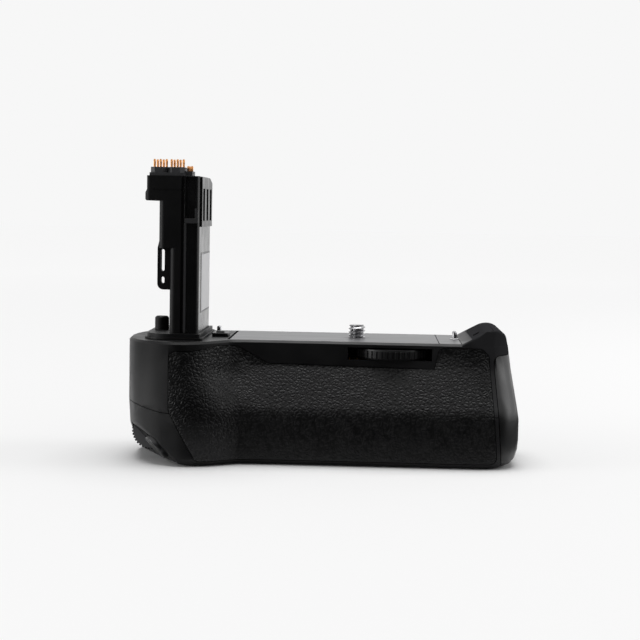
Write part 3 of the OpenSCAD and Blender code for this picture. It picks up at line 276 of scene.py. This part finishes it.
# Camera plate: a thin satin metal panel let into the deck, on which the camera stands.
# It is stamped, with the hole for the screw's bush, and glued into its seat.
deck_metal = material("deck_metal", (0.13, 0.13, 0.135), 0.38, 0.5, 0.6)
deck_streaks = noise(deck_metal, 260, 3.0, (0.12, 1, 1))
rough(deck_metal, deck_streaks, 0.32, 0.46)
tint(deck_metal, deck_streaks, (0.12, 0.12, 0.125), (0.15, 0.15, 0.155))
bump(deck_metal, noise(deck_metal, 1500, 2.0), 0.00001, 0.4)
plate_bm = copy_of("camera_plate")
soften(plate_bm, 0.15 * mm)
piece("deck_plate", plate_bm, deck_metal, "grip", "deck_metal", "camera_plate")

# Rubber skins: moulded sheets with a leather grain, glued into shallow recesses
# of the cases. The front one wraps the handgrip, the rear one is a thumb rest.
rubber = material("grip_rubber", (0.0055, 0.0055, 0.006), 0.40, 0.27)
rubber_place = node(rubber, "ShaderNodeTexCoord")
rubber_warp = node(rubber, "ShaderNodeTexNoise", Scale=420.0, Detail=2.0)
rubber_shift = node(rubber, "ShaderNodeVectorMath")
rubber_shift.operation = "MULTIPLY_ADD"
rubber_shift.inputs[1].default_value = (0.0011, 0.0011, 0.0011)
rubber_cells = node(rubber, "ShaderNodeTexVoronoi", Scale=760.0)
rubber_cells.feature = "DISTANCE_TO_EDGE"
join(rubber, rubber_place.outputs["Object"], rubber_warp.inputs["Vector"])
join(rubber, rubber_warp.outputs["Color"], rubber_shift.inputs[0])
join(rubber, rubber_place.outputs["Object"], rubber_shift.inputs[2])
join(rubber, rubber_shift.outputs[0], rubber_cells.inputs["Vector"])
rubber_pebble = node(rubber, "ShaderNodeMapRange", From_Min=0.0, From_Max=0.32, To_Min=0.0, To_Max=1.0)
rubber_pebble.interpolation_type = "SMOOTHSTEP"
join(rubber, rubber_cells.outputs["Distance"], rubber_pebble.inputs["Value"])
rough(rubber, noise(rubber, 160), 0.34, 0.44)
# Painted shade: the base colour is darker in the grooves between the pebbles than on their tops.
tint(rubber, rubber_pebble.outputs["Result"], (0.0025, 0.0025, 0.0027), (0.0065, 0.0065, 0.007))
bump(rubber, rubber_pebble.outputs["Result"], 0.00013, 0.9)
# Painted light: the base colour is lighter on the lower part of the handgrip, standing in for light falling there.
to_toe = growth(rubber, axis(rubber, "Z"), -27.0 * mm, -37.0 * mm)
to_hand = growth(rubber, axis(rubber, "X"), -40.0 * mm, -54.0 * mm)
blend(rubber, combine(rubber, "MULTIPLY", to_toe, to_hand), (0.032, 0.032, 0.033))
piece("front_skin", copy_of("front_rubber"), rubber, "grip", "grip_rubber", "front_rubber")
piece("rear_skin", copy_of("rear_rubber"), rubber, "grip", "grip_rubber", "rear_rubber")

# Battery post: two moulded halves that snap together along the upright groove and stand
# in the camera's battery chamber. They are finer in grain than the cases, the right one polished.
post_black = moulded("post_black", (0.0048, 0.0048, 0.0051), 0.42, 0.15, 3600, 0.00001)
post_gloss = moulded("post_gloss", (0.0050, 0.0050, 0.0053), 0.20, 0.37, 3600, 0.000006)
ledge_front = -25.05 * mm
on_ledge = growth(post_gloss, axis(post_gloss, "Y"), ledge_front, ledge_front - 0.05 * mm)
blend(post_gloss, on_ledge, (0.045, 0.045, 0.047))
post_edge = 0.25 * mm
post_halves = (("post_half_left", "post_left", post_black), ("post_half_right", "post_right", post_gloss))
for half, cad_node, look in post_halves:
    half_bm = copy_of(cad_node)
    soften(half_bm, post_edge)
    piece(half, half_bm, look, "grip", "case_plastic", cad_node)

# Collar with its stub pin, and the loop that takes the camera's battery cover.
# Both are moulded and clipped to the post.
collar_bm = copy_of("post_collar")
soften(collar_bm, 0.3 * mm)
piece("collar_ring", collar_bm, post_black, "grip", "case_plastic", "post_collar")
loop_bm = copy_of("cover_loop")
soften(loop_bm, 0.2 * mm)
piece("cover_bracket", loop_bm, post_black, "grip", "case_plastic", "cover_loop")

# Terminal module: the slotted moulding on the right of the post's head that guards
# the battery terminals of the camera.
terminal_black = moulded("terminal_black", (0.0040, 0.0040, 0.0043), 0.3, 0.35, 3600, 0.00001)
terminal_bm = copy_of("terminal_module")
soften(terminal_bm, 0.12 * mm)
piece("terminal_guard", terminal_bm, terminal_black, "grip", "case_plastic", "terminal_module")

# Bare label place on the right face of the post: a thin film with a dark border.
# It carries no words on this part.


def block(low, high, edge, segments=2):
    """A box between two corners with rounded edges, in millimetres."""
    bm = bmesh.new()
    bmesh.ops.create_cube(bm, size=1.0)
    low, high = Vector(low) * mm, Vector(high) * mm
    bmesh.ops.scale(bm, verts=bm.verts, vec=high - low)
    bmesh.ops.translate(bm, verts=bm.verts, vec=(low + high) / 2)
    bmesh.ops.bevel(bm, geom=bm.edges, offset=edge * mm, affect="EDGES", segments=segments, profile=0.5, material=-1)
    return bm


post_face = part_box("post_right")[1].x / mm
label_film = material("label_film", (0.84, 0.84, 0.85), 0.4, 0.4)
label_cloud = noise(label_film, 700)
rough(label_film, label_cloud, 0.34, 0.46)
tint(label_film, label_cloud, (0.82, 0.82, 0.83), (0.86, 0.86, 0.87))
bump(label_film, noise(label_film, 4000), 0.000004, 0.5)
piece("label_border", block((post_face - 0.2, -18.4, 9.2), (post_face + 0.06, 10.0, 31.2), 0.02),
      terminal_black, "grip", "gloss_plastic")
piece("label_plate", block((post_face - 0.2, -16.6, 9.9), (post_face + 0.12, 9.6, 30.5), 0.02),
      label_film, "grip", "gloss_plastic")

# Contact block: the insulator on top of the post, two towers and a step on one flange,
# moulded in grey and bored for the spring contacts. The two rows of bores stand a little aside
# from the CAD's, as the pins do, so that both rows show from the front.
block_grey = moulded("block_grey", (0.042, 0.042, 0.045), 0.45, 0.4, 3200, 0.00001)
carrier_bm = copy_of("contact_block")
soften(carrier_bm, 0.1 * mm)
pin_lines = ((0.28, -16.0), (-0.28, -12.0))
pin_rows = [(-74.85, 5, 1.1, 65.0), (-68.65, 5, 1.1, 65.0), (-62.55, 3, 0.7, 62.6)]
bore_reach = 0.75 * mm
bore_moved = set()
carrier_bm.verts.index_update()
for first, count, pitch, top in pin_rows:
    for i in range(count):
        aside, line_y = pin_lines[i % 2]
        bore = Vector((first + i * pitch, line_y)) * mm
        for vert in carrier_bm.verts:
            if vert.index not in bore_moved and (vert.co.xy - bore).length < bore_reach:
                vert.co.x += aside * mm
                bore_moved.add(vert.index)
piece("contact_carrier", carrier_bm, block_grey, "grip", "case_plastic", "contact_block")

# Spring contacts: turned plungers of plated brass that press on the camera's own contacts.


def turned(profile, segments=32):
    """A body of revolution about Z from radii and heights in millimetres."""
    bm = bmesh.new()
    line = [bm.verts.new((r * mm, 0, z * mm)) for r, z in profile]
    edges = [bm.edges.new(pair) for pair in zip(line, line[1:])]
    bmesh.ops.spin(bm, geom=line + edges, cent=(0, 0, 0), axis=(0, 0, 1), angle=2 * math.pi,
                   steps=segments, use_merge=True)
    bmesh.ops.remove_doubles(bm, verts=bm.verts, dist=0.0005 * mm)
    return bm


def add(bm, other, place=None):
    """Puts another mesh into this one, at a place."""
    if place is not None:
        bmesh.ops.transform(other, matrix=place, verts=other.verts)
    part = bpy.data.meshes.new("part")
    other.to_mesh(part)
    other.free()
    bm.from_mesh(part)
    bpy.data.meshes.remove(part)


gold = material("contact_gold", (0.72, 0.36, 0.13), 0.28, 0.5, 1.0)
gold_cloud = noise(gold, 1200)
rough(gold, gold_cloud, 0.22, 0.36)
tint(gold, gold_cloud, (0.50, 0.22, 0.075), (0.72, 0.36, 0.14))
bump(gold, noise(gold, 5000), 0.000004, 0.4)
pin_r, pin_base = 0.42, 60.0
head_r, head_h = 0.44, 1.8
pins_bm = bmesh.new()
for first, count, pitch, top in pin_rows:
    for i in range(count):
        add(pins_bm, turned([(0, pin_base), (pin_r, pin_base), (pin_r, top - head_h - 0.1), (head_r, top - head_h),
                             (head_r, top - 0.35), (head_r - 0.15, top - 0.1), (0, top)], 16),
            Matrix.Translation(((first + i * pitch + pin_lines[i % 2][0]) * mm, pin_lines[i % 2][1] * mm, 0)))
piece("spring_contacts", pins_bm, gold, "contact_pins", "contact_gold", "contact_pins")

# Deck fittings: two turned steel locating pins with a collar, and the black switch block
# that the camera's base presses, beside the post.
steel = material("steel", (0.46, 0.46, 0.47), 0.24, 0.5, 1.0)
steel_rings = noise(steel, 900, 3.0, (1, 1, 6))
rough(steel, steel_rings, 0.16, 0.30)
tint(steel, steel_rings, (0.40, 0.40, 0.41), (0.52, 0.52, 0.53))
bump(steel, noise(steel, 3000), 0.000004, 0.4)
locating_bm = bmesh.new()
locating_pin = [(0, -1.7), (0.9, -1.7), (0.9, 0.0), (1.7, 0.0), (1.7, 0.22), (1.5, 0.35), (0.95, 0.38), (0.9, 0.45),
                (0.9, 2.7), (0.7, 3.05), (0.35, 3.2), (0, 3.2)]
for x, y in ((-52.0, 2.0), (36.6, 0.0)):
    add(locating_bm, turned(locating_pin), Matrix.Translation((x * mm, y * mm, 0)))
piece("guide_pins", locating_bm, steel, "grip", "steel", "locating_pins")
switch_bm = copy_of("switch_block")
soften(switch_bm, 0.3 * mm)
add(switch_bm, block((-52.2, -7.6, 1.2), (-49.2, -4.4, 1.9), 0.2))
piece("deck_switch", switch_bm, terminal_black, "grip", "inner_plastic", "switch_block")

# Attachment drive: the ribbed dial in the front window turns the camera screw
# through brass gears. The dial is moulded, the screw is turned and rolled.
dial_black = moulded("dial_black", (0.0050, 0.0050, 0.0054), 0.34, 0.36, 3200, 0.00001)
dial_bm = copy_of("attachment_dial")
soften(dial_bm, 0.1 * mm)
piece("drive_dial", dial_bm, dial_black, "attachment_dial", "gloss_plastic", "attachment_dial")


def thread(root, crest, pitch, low, high, segments=48):
    """A closed threaded rod: one turn of the profile swept up a helix and cut off flat."""
    bm = bmesh.new()
    shape = [(root, 0.0), (root, 0.1), (crest, 0.42), (crest, 0.52), (root, 0.9), (root, 1.0)]
    line = [bm.verts.new((r * mm, 0, (low + (share - 1.5) * pitch) * mm)) for r, share in shape]
    edges = [bm.edges.new(pair) for pair in zip(line, line[1:])]
    turns = math.ceil((high - low) / pitch) + 2
    bmesh.ops.spin(bm, geom=line + edges, cent=(0, 0, 0), axis=(0, 0, 1), angle=2 * math.pi * turns,
                   steps=segments * turns, dvec=(0, 0, pitch * mm / segments))
    bmesh.ops.remove_doubles(bm, verts=bm.verts, dist=0.001 * mm)
    for z, way in ((low, -1), (high, 1)):
        cut = bmesh.ops.bisect_plane(bm, geom=bm.verts[:] + bm.edges[:] + bm.faces[:], plane_co=(0, 0, z * mm),
                                     plane_no=(0, 0, way), clear_outer=True, dist=0.0001 * mm)
        rim = [e for e in cut["geom_cut"] if isinstance(e, bmesh.types.BMEdge)]
        bmesh.ops.holes_fill(bm, edges=rim)
    return bm


screw_low, screw_high, screw_tip = 0.15, 4.8, 0.55
screw_crest = 3.175
screw_bm = thread(2.5, screw_crest, 1.27, screw_low, screw_high)
for vert in screw_bm.verts:
    over = vert.co.z / mm - (screw_high - screw_tip)
    across = vert.co.xy.length / mm
    limit = screw_crest - max(0.0, over)
    if over > 0 and across > limit:
        vert.co.xy *= limit / across
add(screw_bm, turned([(0, -12.3), (2.1, -12.3), (2.1, screw_low + 0.2), (0, screw_low + 0.2)], 48))
piece("camera_screw", screw_bm, steel, "attachment_screw", "steel", "attachment_screw", crease=25)

# Shutter button: a dished cap with a rounded rim, at the corner that the index finger
# reaches in the upright hold. It is moulded and sprung.
button_black = moulded("button_black", (0.016, 0.016, 0.017), 0.28, 0.5, 3600, 0.000008)
shutter_cap = [(0, -3), (5.2, -3), (5.2, 0.9), (5.1, 1.2), (4.85, 1.4), (4.6, 1.4), (3.6, 1.22), (1.8, 1.14),
               (0, 1.12)]
shutter_bm = turned(shutter_cap, 64)
shutter_turn = corner_way.to_track_quat("Z", "Y").to_matrix().to_4x4()
bmesh.ops.transform(shutter_bm, verts=shutter_bm.verts, matrix=Matrix.Translation(corner_at) @ shutter_turn)
piece("release_button", shutter_bm, button_black, "shutter_button", "gloss_plastic", "shutter_button")

# Main dial: a toothed wheel on a steel axle, half sunk in the lower left corner.
wheel_bm = copy_of("main_dial")
soften(wheel_bm, 0.15 * mm)
wheel_black = moulded("wheel_black", (0.020, 0.020, 0.021), 0.45, 0.25, 3200, 0.00001)
# Painted light: the front face of the wheel gets a much lighter base colour, standing in for light falling on it.
cheek_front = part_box("main_dial")[0].y
cheek_painted_light = growth(wheel_black, axis(wheel_black, "Y"), cheek_front + 0.3 * mm, cheek_front + 0.2 * mm)
blend(wheel_black, cheek_painted_light, (0.14, 0.14, 0.145))
piece("command_dial", wheel_bm, wheel_black, "main_dial", "gloss_plastic", "main_dial")

# Rear controls: three round buttons with domed caps above each other, and the power
# lever below them. They are moulded, the lever with a raised bar.
rear_way = Matrix.Rotation(math.radians(-90), 4, "X")
button_tail, button_face, button_r = 13.2, 18.8, 2.6
for cad_node in ("focus_button", "lock_button", "point_button"):
    low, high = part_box(cad_node)
    middle = (low + high) / 2
    cap_bm = turned([(0, button_tail), (button_r + 0.5, button_tail), (button_r + 0.5, button_tail + 0.8),
                     (button_r, button_tail + 0.8), (button_r, button_face - 0.5),
                     (button_r - 0.15, button_face - 0.2),
                     (button_r - 0.5, button_face - 0.05), (button_r - 1.2, button_face), (0, button_face)], 40)
    bmesh.ops.transform(cap_bm, matrix=Matrix.Translation((middle.x, 0, middle.z)) @ rear_way, verts=cap_bm.verts)
    piece(cad_node + "_cap", cap_bm, button_black, cad_node, "gloss_plastic", cad_node)
lever_bm = copy_of("power_lever")
soften(lever_bm, 0.25 * mm)
piece("power_switch", lever_bm, button_black, "power_lever", "gloss_plastic", "power_lever")

# Magazine: an open tray for two batteries with a glossy cap that closes the right end.
# Both are moulded; two screws join them.
cap_gloss = moulded("cap_gloss", (0.0045, 0.0045, 0.0048), 0.36, 0.42, 2600, 0.000008)
tray_black = moulded("tray_black", (0.018, 0.018, 0.019), 0.5, 0.3)
cap_bm = copy_of("magazine_cap")
piece("end_cap", cap_bm, cap_gloss, "magazine", "gloss_plastic", "magazine_cap")
piece("battery_tray", copy_of("magazine_tray"), tray_black, "magazine", "inner_plastic", "magazine_tray")

# Release handle: a turning disc with a raised bar, whose pinion lifts the steel bolt.
handle_bm = copy_of("release_handle")
soften(handle_bm, 0.25 * mm)
piece("latch_knob", handle_bm, button_black, "release_handle", "gloss_plastic", "release_handle")

# Inner parts and fasteners, seen only when the magazine is out or the case is open.
# They keep their CAD form and get the finish of what they are made of.
inner_black = moulded("inner_black", (0.022, 0.022, 0.023), 0.55, 0.3)
screw_dark = moulded("screw_dark", (0.05, 0.05, 0.052), 0.35, 0.5, 3000, 0.000005)
brass = material("gear_brass", (0.66, 0.50, 0.22), 0.3, 0.5, 1.0)
brass_cloud = noise(brass, 700)
rough(brass, brass_cloud, 0.24, 0.4)
tint(brass, brass_cloud, (0.58, 0.43, 0.18), (0.72, 0.56, 0.26))
bump(brass, noise(brass, 3000), 0.000004, 0.4)
board_green = material("board_green", (0.02, 0.10, 0.04), 0.4, 0.5)
board_tracks = noise(board_green, 500, 1.0, (1, 0.2, 1))
rough(board_green, board_tracks, 0.3, 0.5)
tint(board_green, board_tracks, (0.015, 0.085, 0.03), (0.03, 0.13, 0.05))
bump(board_green, board_tracks, 0.00002, 0.5)
film_amber = material("film_amber", (0.40, 0.17, 0.03), 0.32, 0.5)
film_lines = noise(film_amber, 900, 1.0, (1, 1, 0.05))
rough(film_amber, film_lines, 0.26, 0.4)
tint(film_amber, film_lines, (0.34, 0.14, 0.02), (0.46, 0.21, 0.05))
bump(film_amber, film_lines, 0.00001, 0.5)
finishes = {
    inner_black: ["inner_frame", "dial_encoder"],
    steel: ["drive_plate", "dial_axle", "screw_clip", "drive_screws", "frame_screws", "tripod_bush",
            "main_dial_axle", "handle_spindle", "latch_bolt"],
    screw_dark: ["case_screws", "cap_screws"],
    deck_metal: ["screw_bush"],
    brass: ["screw_gear"],
    gold: ["magazine_contacts", "housing_contacts"],
    board_green: ["main_board", "shutter_switch", "button_board"],
    film_amber: ["post_cable"],
}
for look, cad_nodes in finishes.items():
    for cad_node in cad_nodes:
        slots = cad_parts[cad_node].material_slots
        for place in slots:
            place.material = look

# Floor, backdrop and light of the studio, and the camera of the photograph.
# The floor is a pale sheet, paler far off so that no horizon shows; a dark card before
# the camera, seen only in reflections, keeps the front dark.
floor_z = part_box("lower_case")[0].z
floor_bm = bmesh.new()
bmesh.ops.create_grid(floor_bm, x_segments=1, y_segments=1, size=6.0)
bmesh.ops.translate(floor_bm, verts=floor_bm.verts, vec=(0, 0, floor_z - 0.02 * mm))
floor_mesh = bpy.data.meshes.new("floor")
floor_bm.to_mesh(floor_mesh)
floor_bm.free()
floor_look = material("floor_white", (0.90, 0.90, 0.90), 0.9, 0.0)
floor_path = node(floor_look, "ShaderNodeLightPath")
floor_seen = combine(floor_look, "MAXIMUM", floor_path.outputs["Is Camera Ray"],
                     floor_path.outputs["Is Glossy Ray"])
floor_any = combine(floor_look, "MAXIMUM", floor_seen, floor_path.outputs["Is Transmission Ray"])
floor_shade = node(floor_look, "ShaderNodeMix")
floor_shade.data_type = "RGBA"
floor_shade.inputs["A"].default_value = (0.25, 0.25, 0.25, 1)
floor_place = node(floor_look, "ShaderNodeTexCoord")
floor_far = node(floor_look, "ShaderNodeVectorMath")
floor_far.operation = "LENGTH"
floor_pale = node(floor_look, "ShaderNodeMapRange", From_Min=0.1, From_Max=1.5, To_Min=0.90, To_Max=0.992)
join(floor_look, floor_place.outputs["Object"], floor_far.inputs[0])
join(floor_look, floor_far.outputs["Value"], floor_pale.inputs["Value"])
join(floor_look, floor_pale.outputs["Result"], floor_shade.inputs["B"])
join(floor_look, floor_any, floor_shade.inputs["Factor"])
join(floor_look, floor_shade.outputs["Result"], floor_look.node_tree.nodes["Principled BSDF"].inputs["Base Color"])
floor_mesh.materials.append(floor_look)
floor = bpy.data.objects.new("floor", floor_mesh)
bpy.context.scene.collection.objects.link(floor)

world = bpy.data.worlds.new("studio")
bpy.context.scene.world = world
world.use_nodes = True
sky = world.node_tree
sky.nodes.clear()
path = sky.nodes.new("ShaderNodeLightPath")
seen = sky.nodes.new("ShaderNodeMath")
seen.operation = "ADD"
sky.links.new(path.outputs["Is Camera Ray"], seen.inputs[0])
sky.links.new(path.outputs["Is Glossy Ray"], seen.inputs[1])
seen_all = sky.nodes.new("ShaderNodeMath")
seen_all.operation = "ADD"
seen_all.use_clamp = True
sky.links.new(seen.outputs[0], seen_all.inputs[0])
sky.links.new(path.outputs["Is Transmission Ray"], seen_all.inputs[1])
ambient = sky.nodes.new("ShaderNodeBackground")
ambient.inputs["Color"].default_value = (1, 1, 1, 1)
ambient.inputs["Strength"].default_value = 0.28
white = sky.nodes.new("ShaderNodeBackground")
white.inputs["Color"].default_value = (0.93, 0.93, 0.93, 1)
white.inputs["Strength"].default_value = 1.0
either = sky.nodes.new("ShaderNodeMixShader")
sky.links.new(seen_all.outputs[0], either.inputs["Fac"])
sky.links.new(ambient.outputs[0], either.inputs[1])
sky.links.new(white.outputs[0], either.inputs[2])
out = sky.nodes.new("ShaderNodeOutputWorld")
sky.links.new(either.outputs[0], out.inputs["Surface"])


def soft_light(name, place, size, power, target=(0, 0, 0)):
    """A square softbox that faces a target."""
    lamp = bpy.data.lights.new(name, "AREA")
    lamp.shape = "SQUARE"
    lamp.size = size
    lamp.energy = power
    made = bpy.data.objects.new(name, lamp)
    made.location = place
    made.rotation_euler = (Vector(place) - Vector(target)).to_track_quat("Z", "Y").to_euler()
    bpy.context.scene.collection.objects.link(made)
    return made


overhead = bpy.data.lights.new("overhead", "SUN")
overhead.energy = 0.66 * math.pi
overhead.angle = math.radians(45)
overhead_lamp = bpy.data.objects.new("overhead", overhead)
overhead_lamp.rotation_euler = (math.radians(-8), 0, 0)
bpy.context.scene.collection.objects.link(overhead_lamp)
soft_light("left_light", (-1.0, -0.28, 0.03), 0.5, 4.4)
soft_light("right_light", (0.9, 0.15, 0.35), 0.5, 2.0)

card_bm = bmesh.new()
card_front, card_back, card_top, card_left, card_right = -0.40, -0.045, 0.27, -0.24, 1.1
card_line = [(card_back, 0.0005), (card_front, 0.0005), (card_front, card_top)]
card_ends = [[card_bm.verts.new((x, y, floor_z + z)) for x in (card_left, card_right)] for y, z in card_line]
for near, far in zip(card_ends, card_ends[1:]):
    card_bm.faces.new((near[0], far[0], far[1], near[1]))
wing = [(0.075, card_back), (card_right, card_back), (card_right, 0.3), (0.075, 0.3)]
card_bm.faces.new([card_bm.verts.new((x, y, floor_z + 0.0005)) for x, y in wing])
card_mesh = bpy.data.meshes.new("dark_card")
card_bm.to_mesh(card_mesh)
card_bm.free()
card_mesh.materials.append(material("card_black", (0.06, 0.06, 0.06), 0.9, 0.0))
card = bpy.data.objects.new("dark_card", card_mesh)
card.visible_camera = False
card.visible_diffuse = False
card.visible_shadow = False
bpy.context.scene.collection.objects.link(card)

azimuth, elevation, roll = math.radians(1.993), math.radians(4.229), math.radians(1.053)
distance = 0.560
target = Vector((-0.013926, 0, 0.00625))
level_share = math.cos(elevation)
toward = Vector((math.sin(azimuth) * level_share, -math.cos(azimuth) * level_share, math.sin(elevation)))
camera = bpy.data.objects.new("camera", bpy.data.cameras.new("camera"))
camera.data.sensor_width = 36.0
camera.data.lens = 83.79
camera.matrix_world = Matrix.Translation(target + distance * toward) @ (
    toward.to_track_quat("Z", "Y").to_matrix() @ Matrix.Rotation(roll, 3, "Z")).to_4x4()
bpy.context.scene.collection.objects.link(camera)
bpy.context.scene.camera = camera
bpy.context.scene.view_settings.view_transform = "Standard"
